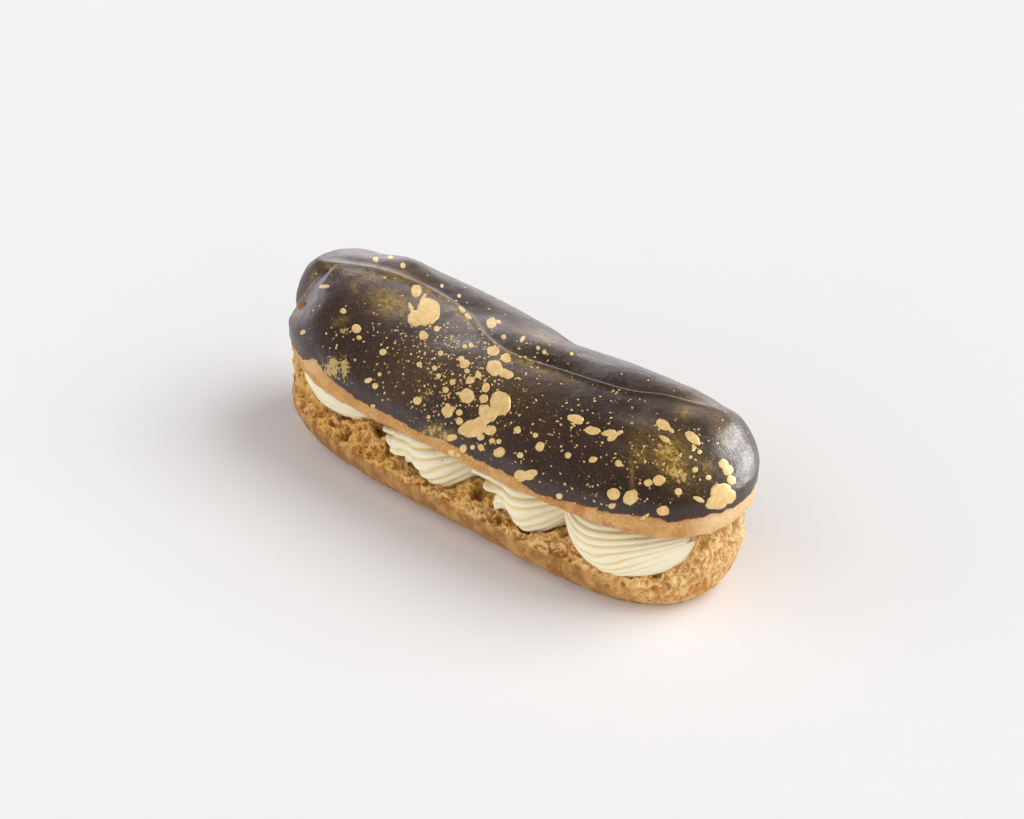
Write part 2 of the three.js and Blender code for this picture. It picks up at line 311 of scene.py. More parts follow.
class Look(Nodes):
    """A procedural material. Sizes are in millimetres."""

    def __init__(self, name, **settings):
        self.material = bpy.data.materials.new(name)
        self.material.use_nodes = True
        super().__init__(self.material.node_tree)
        self.shader = self.tree.nodes["Principled BSDF"]
        self.place = self.node("TexCoord").outputs["Object"]
        self.set(**settings)

    def set(self, **inputs):
        for key, value in inputs.items():
            self.put(self.shader.inputs[key.replace("_", " ")], value)

    def stretched(self, x, y, z, turn=0.0):
        """Coordinates stretched by these factors, after a turn about Z in degrees."""
        mapping = self.node("Mapping", {"Vector": self.place, "Scale": (1 / x, 1 / y, 1 / z)})
        mapping.inputs["Rotation"].default_value = (0, 0, math.radians(turn))
        return mapping.outputs["Vector"]

    def noise(self, size, detail=3.0, roughness=0.55, place=None, distortion=0.0):
        inputs = {"Vector": place or self.place, "Scale": 1 / (size * MM), "Detail": detail,
                  "Roughness": roughness, "Distortion": distortion}
        return self.node("TexNoise", inputs).outputs["Fac"]

    def cells(self, size, place=None):
        inputs = {"Vector": place or self.place, "Scale": 1 / (size * MM)}
        return self.node("TexVoronoi", inputs).outputs["Distance"]

    def value(self, name):
        return self.node("Attribute", attribute_name=name).outputs["Fac"]

    def times(self, a, b):
        return self.math("MULTIPLY", a, b)

    def math(self, operation, a, b=0.0, clamp=False):
        return self.node("Math", {0: a, 1: b}, operation=operation, use_clamp=clamp).outputs[0]

    def bump(self, height, depth, strength, below=None):
        inputs = {"Height": height, "Distance": depth * MM, "Strength": strength}
        if below is not None:
            inputs["Normal"] = below
        return self.node("Bump", inputs).outputs["Normal"]


# How far light spreads inside, by colour
BREAD_RADIUS = (1.0, 0.5, 0.2)
CREAM_RADIUS = (1.0, 0.75, 0.4)

FLOOR_COLOUR = srgb(246, 247, 249)


def choux_crumb_material():
    """Torn crumb above a smooth crust: pale webs round amber hollows, and webs all over the right end. Its
    pits and deep hollows are painted darker: painted shade.
    """
    look = Look("choux_crumb", Roughness=0.68, Specular_IOR_Level=0.35, Subsurface_Weight=0.15,
                Subsurface_Scale=0.0012, Subsurface_Radius=BREAD_RADIUS)
    torn, pit_shade, webbed = look.value("torn"), look.value("pit_shade"), look.value("webbed")
    patches = look.noise(8, 3)
    web = look.blend(look.ramp(patches, 0.38, 0.62), srgb(242, 204, 140), srgb(233, 186, 106))
    web = look.blend(webbed, web, srgb(254, 216, 148))
    hollow = look.blend(look.ramp(patches, 0.4, 0.62), srgb(184, 120, 52), srgb(192, 138, 48))
    hollow = look.blend(webbed, hollow, srgb(222, 154, 78))
    threads = look.noise(1.3, 4, 0.7, place=look.stretched(1, 1, 1.8), distortion=0.8)
    # Painted shade: the deeper the crumb lies in its pits, the more it takes the darker amber hollow colour.
    share = look.math("ADD", look.times(pit_shade, 0.85), look.ramp(threads, 0.4, 0.66, -0.25, 0.4))
    crumb = look.blend(look.ramp(share, 0.12, 0.8), web, hollow)
    # Painted shade: the crumb is painted darker in its deep hollows.
    crumb = look.blend(look.value("deep_shade"), crumb, srgb(138, 100, 44))
    mottle = look.ramp(look.noise(5, 5, 0.65, place=look.stretched(1, 1, 1.8)), 0.4, 0.62)
    crust = look.blend(mottle, srgb(156, 104, 46), srgb(198, 150, 86))
    pale = look.ramp(look.noise(1.3, 4, 0.65), 0.54, 0.7, 0, 0.55)
    crust = look.blend(pale, crust, srgb(222, 184, 128))
    # Painted shade: the crust's bubbles at the right end are painted darker in their pits.
    bubbled = look.blend(look.ramp(pit_shade, 0.15, 0.75), srgb(250, 208, 140), srgb(214, 148, 74))
    crust = look.blend(look.times(webbed, 0.85), crust, bubbled)
    strands = look.math("ABSOLUTE", look.math("SUBTRACT", look.noise(3.2, 4, 0.6, distortion=0.8), 0.5))
    lines = look.times(look.ramp(strands, 0.04, 0.005), webbed)
    colour = look.blend(torn, crust, crumb)
    colour = look.blend(look.times(lines, 0.6), colour, srgb(190, 120, 50))
    # Painted shade: at the right end the crust is painted darker in its pits.
    colour = look.blend(look.times(look.value("deep_shade"), webbed), colour, srgb(176, 104, 42))
    look.set(Base_Color=colour)
    grain = look.bump(look.noise(0.5, 3), 0.16, 0.5)
    bubbly = look.times(look.cells(0.85, place=look.stretched(1, 1, 1.3)), torn)
    bubbly = look.math("SUBTRACT", bubbly, look.times(lines, 0.5))
    look.set(Normal=look.bump(bubbly, 0.45, 0.7, grain))
    return look.material


def choux_crust_material():
    """The lid's pale strip: finely granular, browner along its edges. Painted shade browns its front near
    the right end, and painted light makes its right end paler.
    """
    look = Look("choux_crust", Roughness=0.75, Specular_IOR_Level=0.25, Subsurface_Weight=0.12,
                Subsurface_Scale=0.001, Subsurface_Radius=BREAD_RADIUS)
    warm = look.blend(look.ramp(look.noise(6, 3), 0.35, 0.65), srgb(200, 147, 84), srgb(214, 165, 102))
    grain = look.noise(0.5, 3, 0.6)
    spotted = look.blend(look.ramp(grain, 0.54, 0.7, 0, 0.6), warm, srgb(242, 212, 166))
    spotted = look.blend(look.ramp(grain, 0.45, 0.32, 0, 0.6), spotted, srgb(172, 114, 60))
    # pale marks the bare patch and random paler patches, and also paints light on the strip's right end.
    pale = look.value("pale")
    spotted = look.blend(pale, spotted, srgb(242, 208, 156))
    # edge browns the strip's edges and the nubs, and also paints shade on the strip's front near the right
    # end.
    look.set(Base_Color=look.blend(look.value("edge"), spotted, srgb(166, 100, 48)))
    rough = look.bump(look.noise(1.4, 3), 0.3, 0.6)
    look.set(Normal=look.bump(grain, 0.2, 0.8, rough))
    return look.material


def cream_material():
    """Whipped cream with tiny dark seeds. Its grooves are painted darker and yellower: painted shade."""
    look = Look("cream", Roughness=0.45, Specular_IOR_Level=0.35, Subsurface_Weight=0.4,
                Subsurface_Scale=0.0018, Subsurface_Radius=CREAM_RADIUS)
    groove_shade = look.value("groove_shade")
    # Painted shade: the grooves between the ridges are painted darker and yellower.
    tone = look.blend(look.ramp(groove_shade, 0.15, 0.95), srgb(251, 241, 210), srgb(240, 222, 158))
    seeds = look.ramp(look.cells(4.6), 0.05, 0.035)
    look.set(Base_Color=look.blend(seeds, tone, srgb(96, 78, 58)))
    look.set(Normal=look.bump(look.noise(0.7, 3), 0.06, 0.35))
    return look.material


def chocolate_material():
    """Satin dark chocolate with a fine grain, dusted and smeared with gold here and there."""
    look = Look("chocolate", Specular_IOR_Level=0.5, Sheen_Weight=0.13, Sheen_Roughness=0.45,
                Sheen_Tint=(0.95, 0.9, 1.0, 1))
    dark = look.blend(look.ramp(look.noise(14, 3), 0.35, 0.65), srgb(46, 29, 21), srgb(60, 40, 28))
    grain = look.noise(0.34, 2, 0.6)
    coarse = look.noise(0.6, 3, 0.7)
    dark = look.blend(look.ramp(coarse, 0.5, 0.68, 0, 0.5), dark, srgb(96, 74, 56))
    dark = look.blend(look.ramp(grain, 0.48, 0.34, 0, 0.6), dark, srgb(24, 18, 17))
    dark = look.blend(look.times(look.value("thin"), 0.7), dark, srgb(88, 50, 44))
    streaks = look.noise(0.7, 4, 0.75, place=look.stretched(2.6, 1, 1, 25))
    veil, flakes = look.value("veil"), look.value("flakes")
    veiled = look.math("MULTIPLY", veil, look.ramp(streaks, 0.36, 0.66, 0.12, 0.85), clamp=True)
    dusty = look.blend(veiled, dark, srgb(186, 150, 48))
    torn = look.noise(0.9, 5, 0.7, place=look.stretched(1, 1, 1.6))
    torn = look.math("ADD", torn, look.times(flakes, 0.26))
    torn = look.times(look.ramp(torn, 0.62, 0.7), look.ramp(flakes, 0.03, 0.15))
    look.set(Base_Color=look.blend(torn, dusty, srgb(194, 162, 92)))
    satin = look.ramp(look.noise(4, 3), 0.3, 0.7, 0.25, 0.33)
    look.set(Roughness=look.math("ADD", satin, look.times(grain, 0.16)))
    soft = look.bump(look.noise(2.4, 3), 0.12, 0.35)
    look.set(Normal=look.bump(grain, 0.12, 0.8, soft))
    return look.material


def gold_material():
    """Matt pale gold, as it dries in drops. The finest drops are duller."""
    look = Look("gold", Roughness=0.46, Metallic=0.15)
    tone = look.blend(look.ramp(look.noise(1.6, 3), 0.35, 0.65), srgb(228, 190, 118), srgb(240, 208, 144))
    speckle = look.ramp(look.noise(0.2, 1), 0.6, 0.74, 0, 0.4)
    tone = look.blend(speckle, tone, srgb(184, 142, 78))
    look.set(Base_Color=look.blend(look.value("fine"), tone, srgb(206, 172, 100)))
    look.set(Normal=look.bump(look.noise(0.25, 2), 0.05, 0.5))
    return look.material


def floor_material():
    return Look("floor", Roughness=0.8, Specular_IOR_Level=0.0, Base_Color=FLOOR_COLOUR).material


# The lid's dome, as the solids have it

def lid_lift(x):
    return RIGHT_LIFT * ramp(*RIGHT_LIFT_FROM, x)


def crease_y(x):
    return curve_through(CREASE, x)


LIP_SETBACK = 0.7  # how far behind the crease its lip turns over
LIP_ROUND = 1.4
LIP_BEAD = [(-66, 0), (-58, 0.2), (-40, 0.6), (-15, 1.1), (15, 1.4), (40, 1.2), (52, 0.4), (57, 0)]
LIP_BEAD_WIDTH = 1.6
GROOVE = [(-66, 0), (-56, 0.8), (-30, 0.9), (-8, 1.5), (12, 2.1), (38, 1.7), (50, 0.6), (57, 0)]
GROOVE_WIDTH = 1.5

# The small dents and swells that only the surface has: x, y, reach along x, reach along y, height
FINE_SWELLS = [
    (-65, -12.5, 5.5, 2.2, -3.4), (-18, 10, 13, 5, -1.2), (8.5, 3.4, 2.8, 1.4, -0.7),
    (37, -9.8, 5, 2.2, 0.35), (44.5, -7.8, 4.5, 2, 0.55), (51, -6, 4.5, 2, 0.45),
    (40, -3.6, 6, 2, -0.5), (44, -12.5, 6, 3, -0.5), (-60, 3, 6, 5, 0.5), (-6, 20, 3.5, 4, 0.6),
    (5, 17, 5, 6, -1.2), (1.5, 23, 4.5, 4, -3.2), (10, 23, 7, 4, -2), (52, 19, 6, 5, -2),
    (-47, 14, 7, 5, 1), (15, 15.5, 7, 6, -1.2), (31, 17, 5, 4, 0.4), (50, 12, 7, 7, -1.3),
    (57, 11, 5, 7, -0.9),
]


def lid_relief(x, y):
    behind = y - crease_y(x) - LIP_SETBACK
    behind = (behind + np.sqrt(behind**2 + LIP_ROUND**2)) / 2
    height = curve_through(CREST, x) + curve_through(LIP_BEAD, x) * bell(y - crease_y(x), LIP_BEAD_WIDTH)
    for depth, width in ((VALLEY, VALLEY_WIDTH), (GROOVE, GROOVE_WIDTH)):
        height = height - curve_through(depth, x) * behind / width * np.exp(1 - behind / width)
    for hill_x, hill_y, reach_x, reach_y, rise in SWELLS + FINE_SWELLS:
        height = height + rise * bell(x - hill_x, reach_x) * bell(y - hill_y, reach_y)
    return height


def lid_oval(sides, grow):
    grown = {**LID, "half_length": LID["half_length"] + grow, "half_width": LID["half_width"] + grow}
    x, y = even_oval(sides, **grown)
    pinch = PINCH_DEPTH * ramp(*PINCH_FROM, -x) * bell(y - PINCH_Y, PINCH_REACH)
    return x + pinch, y * (1 - LEFT_TAPER * ramp(*LEFT_TAPER_FROM, -x))


def dome(outer_x, outer_y, angle, grow):
    """Points of the dome: angle 0 is the widest level and a right angle is the crest."""
    spine_x = np.clip(outer_x, *LID_SPINE)
    spine_y = crease_y(spine_x)
    lobe = mix(-LEFT_SLOPE, LEFT_BULGE, ramp(*LEFT_LOBES_MEET, outer_y))
    flat = np.where(angle >= math.pi / 2 - 1e-6, 0, np.abs(np.cos(angle)))
    power = 1 - lobe * ramp(*LEFT_LOBES_FROM, -outer_x) * ramp(0, 0.4, flat)
    share = np.where(flat > 0, np.maximum(flat, 1e-9) ** power, 0)
    x = mix(spine_x, outer_x, share)
    y = mix(spine_y, outer_y, share)
    rise = (LID_RISE + grow) * np.sin(angle) + lid_relief(x, y) * np.sin(angle) ** 1.5
    return np.stack(np.broadcast_arrays(x, y, EQUATOR_Z + lid_lift(x) + rise), -1)


# At the front the real strip narrows: how far the icing comes down and the strip's foot goes up
ICING_DROP = [(-38, 0), (-10, 0.7), (18, 0.3), (34, 1.1), (46, 0.5), (60, 0)]
STRIP_LIFT = [(-40, 0), (-25, 0.5), (-5, 1.7), (18, 1.9), (34, 1.4), (48, 0.5), (60, 0)]


def icing_edge_z(x, y):
    front = ramp(0, 10, -y)
    bare = BARE_HEIGHT * bell(x - BARE_X, BARE_REACH)
    wave = 0.35 * np.sin(x / 3.1 + y / 5) + 0.3 * np.sin(x / 7.7 + 1)
    return curve_through(ICING_EDGE_Z, x) + wave + front * (bare - curve_through(ICING_DROP, x))


def icing_edge_angle(x, y):
    """The dome's angle at the icing's edge."""
    return np.arcsin((icing_edge_z(x, y) - EQUATOR_Z - lid_lift(x)) / LID_RISE)


def icing_fringe(x, y):
    """How far the fine fringe of the real edge strays from that, as an angle."""
    place = np.stack([x, y, np.zeros_like(x)], -1)
    return (0.3 * noise(place, 1.7, 3) + 0.25 * noise(place, 0.7, 4) - 0.1) / LID_RISE


# The pieces

BASE_SIDES = 1000
LID_SIDES = 1000
ICING_SIDES = 820


def profile_at(profile, step):
    steps = np.arange(len(profile))
    shares, heights = np.array(profile, float).T
    share = curve_through(np.stack([steps, shares], -1), step)
    height = curve_through(np.stack([steps, heights], -1), step)
    return np.maximum(share, 0), np.maximum(height, 0)


def crumb_relief(x, y):
    return (
        0.45 * np.sin(x / 1.9 + 0.8 * np.sin(y / 2.3)) * np.sin(y / 1.7 + 1.3)
        + 0.35 * np.sin(x / 3.7 + y / 2.9 + 2)
        + 0.25 * np.sin(x / 1.1 - y / 1.6)
    )


def crust_relief(x, y):
    return 0.3 * np.sin(x / 9 + 1) * np.sin(y / 7 + 0.5) + 0.2 * np.sin(x / 4.3 + y / 6)


# The larger hollows in the crumb: place, reach, depth and how much darker they are painted, as painted shade
HOLLOWS = [
    (-28.9, -18, 16.5, 2.6, 2.4, 0.9), (-24, -18.6, 13.4, 2.6, 1.3, 0.5),
    (6.2, -19.8, 14, 2.6, 2.8, 0.95), (32.6, -17.4, 13.5, 2, 2.2, 0.8),
    (23.6, -20.4, 11.9, 2.4, 1.8, 0.6), (15.3, -21.6, 11.4, 1.7, 1.4, 0.5),
    (-49.7, -19, 13, 3, 1.4, 0.3), (-38, -21.8, 11.9, 2.3, 1.4, 0.4), (67.5, 4.5, 20.6, 2.2, 1.2, 0.4),
    (66.4, -6.5, 20.8, 2, 0.8, 0.4), (63.4, -11, 18.6, 3.2, 1.6, 0.1),
]

# Small pits in the crust at the right end: place, reach and depth
CRUST_PITS = [
    (53.1, -20.2, 9.3, 1.1, 1), (46, -22.6, 9.8, 0.8, 0.7), (59.5, -16.6, 8.7, 1.0, 0.9),
    (66.6, -7.5, 8.3, 1.1, 0.9), (63, -12.5, 6.5, 0.8, 0.7), (49.5, -21.5, 7.4, 0.9, 0.8),
    (69, 3, 10, 0.9, 0.8), (56.5, -18.6, 11.5, 0.9, 0.8),
]


def base_grid(steps):
    """The base's surface as the solid has it, and how torn it is, ring by ring."""
    outer_x, outer_y = even_oval(BASE_SIDES, **BASE)
    outer_x, outer_y, step = outer_x[None, :], outer_y[None, :], steps[:, None]
    side_share, side_z = profile_at(BASE_SIDE_PROFILE, step)
    end_share, end_z = profile_at(BASE_END_PROFILE, step)
    dip = np.where(outer_x > 0, ramp(*BASE_RIGHT_DIP, outer_y), 1)
    end = ramp(*BASE_END_RISE, np.abs(outer_x)) * dip * (step < len(BASE_SIDE_PROFILE) - 1.001)
    share = mix(side_share, end_share, end)
    x = mix(np.clip(outer_x, *BASE_SPINE), outer_x, share) + BASE_MIDDLE[0]
    y = outer_y * share + BASE_MIDDLE[1]
    z = mix(side_z, end_z + ramp(6, 8, step) * lid_lift(x), end)
    crust = ramp(1, 3, step) * (1 - ramp(5, 8, step))
    bulge = crust * crust_relief(x, y) / BASE["half_width"]
    torn = ramp(6, 9, step) * ramp(0.3, 0.6, share)
    level = curve_through(CRUMB_LEVEL, x) * ramp(7, 12, step) * (1 - end)
    z = z + torn * (1 - 0.6 * end) * crumb_relief(x, y) + level
    x = mix(x, outer_x + BASE_MIDDLE[0], bulge)
    y = y * (1 + bulge)
    z = np.where(step <= 1, 0, np.maximum(z, 0))
    return np.stack(np.broadcast_arrays(x, y, z), -1)


def choux_base(material):
    """A smooth crust below and torn, bubbly crumb above."""
    steps = np.concatenate([
        np.linspace(0, 1, 3), np.linspace(1, 6.2, 25)[1:], np.linspace(6.2, 12.6, 56)[1:],
        np.linspace(12.6, 13.5, 12)[1:], np.linspace(13.5, 14, 4)[1:],
    ])
    grid = base_grid(steps)
    normal = grid_normals(grid)
    step = np.broadcast_to(steps[:, None], grid.shape[:2])
    webbed = ramp(44, 60, grid[..., 0]) * ramp(1, 2, step)
    ragged = 0.45 * noise(grid, 4, 11) + 0.3 * noise(grid, 1.2, 12)
    torn = ramp(6.2, 6.9, step + ragged + 0.6 * webbed) * (1 - ramp(13.6, 13.95, step))
    stretch = grid * np.array([1, 1, 0.75])
    warp = np.stack([fractal(stretch, 2.5, 20 + k, 2) for k in range(3)], -1) * 0.7
    near, far = bubbles(stretch + warp, 4.0, 31)
    big = 1 - ramp(0.02, 0.28, far - near)
    near_small, far_small = bubbles(stretch + warp * 0.6, 1.7, 37)
    small = 1 - ramp(0.02, 0.34, far_small - near_small)
    hollow = (1 - big) * (0.3 + 0.7 * ramp(-0.5, 0.5, noise(stretch, 6, 5)))
    lift = -1.5 * hollow - 0.6 * (1 - small) + 0.22 * fractal(grid, 1, 41, 2) + 0.6
    # Painted shade: how much darker the crumb is painted in its deep hollows, and the crust in its pits.
    deep_shade = np.zeros_like(hollow)
    for *place, reach, depth, dark in HOLLOWS:
        away = np.linalg.norm((grid - place) * (1, 1, 0.8), axis=-1)
        cup = 1 - ramp(0.35 * reach, reach, away + 0.3 * fractal(grid, 1.2, 43, 2))
        lift = lift - depth * cup
        deep_shade = np.maximum(deep_shade, dark * cup)
    crust = ramp(1, 2, step) * (1 - torn)
    skin = crust * (0.26 * fractal(grid, 4.5, 51, 3) + 0.07 * noise(grid, 0.8, 52))
    skin = skin - 0.4 * webbed * crust * (1 - small)
    # The crust's pits are painted darker as well, as painted shade.
    for *place, reach, depth in CRUST_PITS:
        cup = 1 - ramp(0.2 * reach, reach, np.linalg.norm(grid - place, axis=-1))
        skin = skin - depth * cup * crust
        deep_shade = np.maximum(deep_shade, cup)
        small = small * (1 - cup)
    moved = grid + normal * (torn * lift + skin)[..., None]
    moved[..., 2] = np.where(step <= 1, 0, np.maximum(moved[..., 2], 0))
    # How deep a point lies in the pits, which the material paints as shade
    pit_shade = np.clip(0.65 * hollow + 0.45 * (1 - small), 0, 1)
    piece = grid_mesh("base_choux", moved, {"torn": torn, "pit_shade": pit_shade, "webbed": webbed, "deep_shade": deep_shade})
    return finish_piece(piece, material, "choux_crumb", "choux_base")


# Bits of choux that come through the icing: middle, reach along x, y and z
NUBS = [
    (4.4, 13.9, 41.6, 1.3, 0.8, 0.55), (-61.6, -12, 36.8, 1.9, 1.2, 1.9),
    (-60.7, -12.8, 37.8, 1, 0.9, 0.8), (-63, -11.4, 35.4, 1.4, 1.2, 1.7),
]


def add_nubs(lid):
    made = bmesh.new()
    made.from_mesh(lid.data)
    edge = made.verts.layers.float["edge"]
    for x, y, z, *reach in NUBS:
        place = Matrix.Translation(Vector((x, y, z)) * MM) @ Matrix.Diagonal((*reach, 1))
        nub = bmesh.ops.create_icosphere(made, subdivisions=4, radius=MM, matrix=place)["verts"]
        spots = np.array([vert.co / MM for vert in nub])
        swell = 0.25 * fractal(spots, 0.9, 67, 2)
        for vert, amount in zip(nub, swell):
            vert.co += (vert.co - place.translation) * float(amount)
            vert[edge] = 0.7 + 1.2 * float(amount)
    made.to_mesh(lid.data)
    made.free()
    shade_smooth(lid.data)


def choux_lid(material):
    """The lid's underside, its pale strip and the dome that the icing covers."""
    outer_x, outer_y = lid_oval(LID_SIDES, 0)
    corners = np.array(LID_UNDERSIDE)
    edge = icing_edge_angle(outer_x, outer_y)
    widest = dome(outer_x, outer_y, np.zeros_like(outer_x), 0)
    spine_x = np.clip(outer_x, *LID_SPINE)
    rings = []
    below = np.concatenate([np.linspace(0, 1, 6), np.linspace(1, 2, 10)[1:], np.linspace(2, 4, 12)[1:]])
    for at in below:
        k = min(int(at), 3)
        following = corners[k + 1] if k < 3 else (1, None)
        share = mix(corners[k][0], following[0], at - k)
        top = following[1] if k < 3 else EQUATOR_Z
        x = mix(spine_x, outer_x, share)
        lift = curve_through(STRIP_LIFT, x) * ramp(0, 10, -outer_y) * ramp(0.84, 0.94, share)
        z = mix(corners[k][1], top, at - k) + lid_lift(x) + lift * min(1, 4 - at)
        rings.append(np.stack([x, outer_y * share, z], -1))
    rings[-1] = widest
    for share in np.linspace(0, 1, 26)[1:]:
        rings.append(dome(outer_x, outer_y, (edge + 0.05) * share, 0))
    for share in np.linspace(0, 1, 10)[1:]:
        rings.append(dome(outer_x, outer_y, mix(edge + 0.05, math.pi / 2, share), 0))
    grid = np.stack(rings)
    normal = grid_normals(grid)
    ring = np.arange(len(rings))[:, None]
    shown = np.broadcast_to(ramp(5, 9, ring) * (1 - ramp(50, 53, ring)), grid.shape[:2])
    pores = bubbles(grid, 1.1, 61)[0]
    lift = 0.2 * fractal(grid, 2.6, 62, 3) + 0.16 * (ramp(0, 0.5, pores) - 0.7) + 0.07 * noise(grid, 0.6, 63)
    moved = grid + normal * (shown * lift)[..., None]
    upper = ramp(44, 50, ring + 2 * noise(grid, 2, 64))
    lower = 1 - ramp(9, 14, ring + 2 * noise(grid, 3, 65))
    x, y = grid[..., 0], grid[..., 1]
    patches = ramp(-0.3, 0.4, noise(grid, 2.5, 66))
    bare = bell(x - BARE_X + 3, 6) * ramp(0, 10, -y) * ramp(27.6, 29, grid[..., 2])
    # Past x 65 the strip is painted paler: painted light on its right end.
    pale = bare * mix(0.5, 1, patches) + 0.8 * ramp(65, 70.5, x) + 0.08 * patches * ramp(30, 45, x)
    pale = np.clip(pale, 0, 1)
    # Painted shade: the strip's front near x 46 is painted browner, in patches.
    right = bell(x - 46, 14) * ramp(0, 10, -y) * (1 - patches)
    brown = np.maximum(0.6 * np.maximum(upper, lower), 0.5 * right)
    piece = grid_mesh("lid_choux", moved, {"edge": brown, "pale": pale})
    add_nubs(piece)
    return finish_piece(piece, material, "choux_crust", "choux_lid")


EDGE_THICKNESS = 0.5


def chocolate_icing(material):
    """A thin coat over the dome. It thins towards its uneven edge."""
    inner_x, inner_y = lid_oval(ICING_SIDES, 0)
    smooth_edge = icing_edge_angle(inner_x, inner_y)
    edge = smooth_edge + icing_fringe(inner_x, inner_y)
    rings, thin = [], []
    for share in np.linspace(1, 0, 8):
        rings.append(dome(inner_x, inner_y, mix(edge, math.pi / 2, share), EDGE_THICKNESS / 10))
        thin.append(0)
    for turn in np.linspace(0, 1, 5)[1:]:
        grow = EDGE_THICKNESS * (0.1 + 0.9 * turn)
        x, y = lid_oval(ICING_SIDES, grow)
        rings.append(dome(x, y, edge - 0.012 * math.sin(math.pi * turn), grow))
        thin.append(1)
    full = ICING_CLEARANCE + ICING_THICKNESS
    steps = np.linspace(0, 1, 90)[1:]
    for share in mix(steps**1.1, 1 - (1 - steps) ** 1.5, 0.5 * steps):
        grow = mix(EDGE_THICKNESS, full, float(ramp(0, 0.16, share)))
        x, y = lid_oval(ICING_SIDES, grow)
        ragged = smooth_edge + (edge - smooth_edge) * (1 - ramp(0, 0.06, share))
        rings.append(dome(x, y, mix(ragged, math.pi / 2, share), grow))
        thin.append(1 - ramp(0, 0.03, share))
    grid = np.stack(rings)
    normal = grid_normals(grid)
    ring = np.arange(len(rings))[:, None]
    outside = ramp(10, 16, ring) * (1 - ramp(len(rings) - 5, len(rings) - 1, ring))
    lift = 0.1 * fractal(grid, 6, 71, 3) + 0.025 * noise(grid, 1.1, 72)
    moved = grid + normal * (outside * lift)[..., None]
    thin = np.broadcast_to(np.array(thin)[:, None], grid.shape[:2])
    piece = grid_mesh("chocolate_coat", moved, {"thin": thin})
    return finish_piece(piece, material, "chocolate", "chocolate_icing")


RIDGES = [26, 26, 28, 36]
RIDGE_DEPTH = 0.36
TOOTH_DEPTH = 1.5
POINTS_PER_RIDGE = 8
CREAM_STATIONS = 76
CREAM_ABOVE = 0.6  # how far the relief may rise above the top of the solid
RAGGED_HEAD = 3.6
BROKEN_HEAD = 0.5

# How far the ridges wind round each swirl, in radians, and how deep they are. First they sink to
# the front by the first angle, then they climb by the second one.
WINDING = [(0, 0.2), (0, 0.9), (0, 0.45), (0.7, 1.0)]
DEPTHS = [0.35, 1, 1, 1]


def swirl(number, head, tail, half_width, bottom_z, lean, blunt, taper):
    """One piped swirl: rounded ridges with narrow grooves between them."""
    mid_z = (CREAM_TOP_Z + bottom_z) / 2
    half_height = (CREAM_TOP_Z - bottom_z) / 2
    along = np.concatenate([[0, 0, 0], 1 - (1 - np.linspace(0, 1, CREAM_STATIONS)) ** 1.4])[:, None]
    face = np.concatenate([[0, 0.45, 0.8], np.ones(CREAM_STATIONS - 1), [0]])[:, None]
    full = np.maximum(np.sin(math.pi * mix(HEAD_START, 1, along)), 0) ** taper
    early = 1 - ramp(*HEAD_ENDS, along)
    wide = face * np.maximum(full, early * mix(ROUND_HEAD[0], BLUNT_HEAD[0], blunt))
    tall = face * np.maximum(full, early * mix(ROUND_HEAD[1], BLUNT_HEAD[1], blunt))
    ridges = RIDGES[number]
    turn = np.arange(ridges * POINTS_PER_RIDGE) / (ridges * POINTS_PER_RIDGE)
    sink, climb = WINDING[number]
    angle = turn * 2 * math.pi + sink * (1 - np.exp(-along / 0.15)) - climb * (along**1.6 - 0.25)
    across = np.sign(np.cos(angle)) * np.abs(np.cos(angle)) ** SQUARENESS
    up = np.sign(np.sin(angle)) * np.abs(np.sin(angle)) ** SQUARENESS
    z = mid_z + half_height * ((1 - tall) * HANGS + tall * up)
    slant = lean * (1 - along) ** 2 * ((CREAM_TOP_Z - z) / (2 * half_height))
    which = np.floor(turn * ridges + 0.5) % ridges
    place = np.stack([which * 3.7, np.full_like(which, number * 9.1), np.zeros_like(which)], -1)
    near_head = 1 - ramp(0, 0.16, along)
    ragged = noise(place, 1.3, 81) * RAGGED_HEAD * blunt * near_head
    hollow = HEAD_HOLLOW * blunt * (1 - face**2) * (along == 0)
    x = mix(head, tail, along) + slant + hollow + ragged * face
    y = half_width * wide * across
    grid = np.stack(np.broadcast_arrays(x, y, z), -1)
    grid[0], grid[-1] = grid[0].mean(0), grid[-1].mean(0)
    crest = np.abs(np.cos(ridges * math.pi * turn)) ** 0.8
    depth = mix(RIDGE_DEPTH * DEPTHS[number], TOOTH_DEPTH, blunt * near_head)
    depth = depth * np.minimum(1, 3 * (1 - along)) * np.minimum(1, 4 * along + blunt)
    broken = BROKEN_HEAD * fractal(grid, 1.6, 91 + number, 3) * blunt * (1 - ramp(0.05, 0.4, along))
    wobble = 0.15 * fractal(grid, 4, 85 + number, 2)
    lift = depth * (2 * crest - 1) + wobble + broken
    grid = grid + grid_normals(grid) * (lift * face)[..., None]
    grid[..., 2] = np.minimum(grid[..., 2], CREAM_TOP_Z + CREAM_ABOVE)
    # How deep in a groove a point lies, which the material paints as shade
    groove_shade = np.broadcast_to((1 - crest) * np.minimum(1, depth / RIDGE_DEPTH), grid.shape[:2])
    return grid_mesh(f"swirl_{number}", grid, {"groove_shade": groove_shade})


def cream_filling(material):
    """Four swirls in a row, fused."""
    swirls = [swirl(number, *values) for number, values in enumerate(SWIRLS)]
    first = swirls[0]
    for other in swirls[1:]:
        join = first.modifiers.new("join", "BOOLEAN")
        join.operation, join.solver, join.object = "UNION", "MANIFOLD", other
        fused = bpy.data.meshes.new_from_object(first.evaluated_get(bpy.context.evaluated_depsgraph_get()))
        first.modifiers.clear()
        first.data = fused
        bpy.data.objects.remove(other)
    first.name = first.data.name = "cream_swirls"
    return finish_piece(first, material, "cream", "cream_filling")


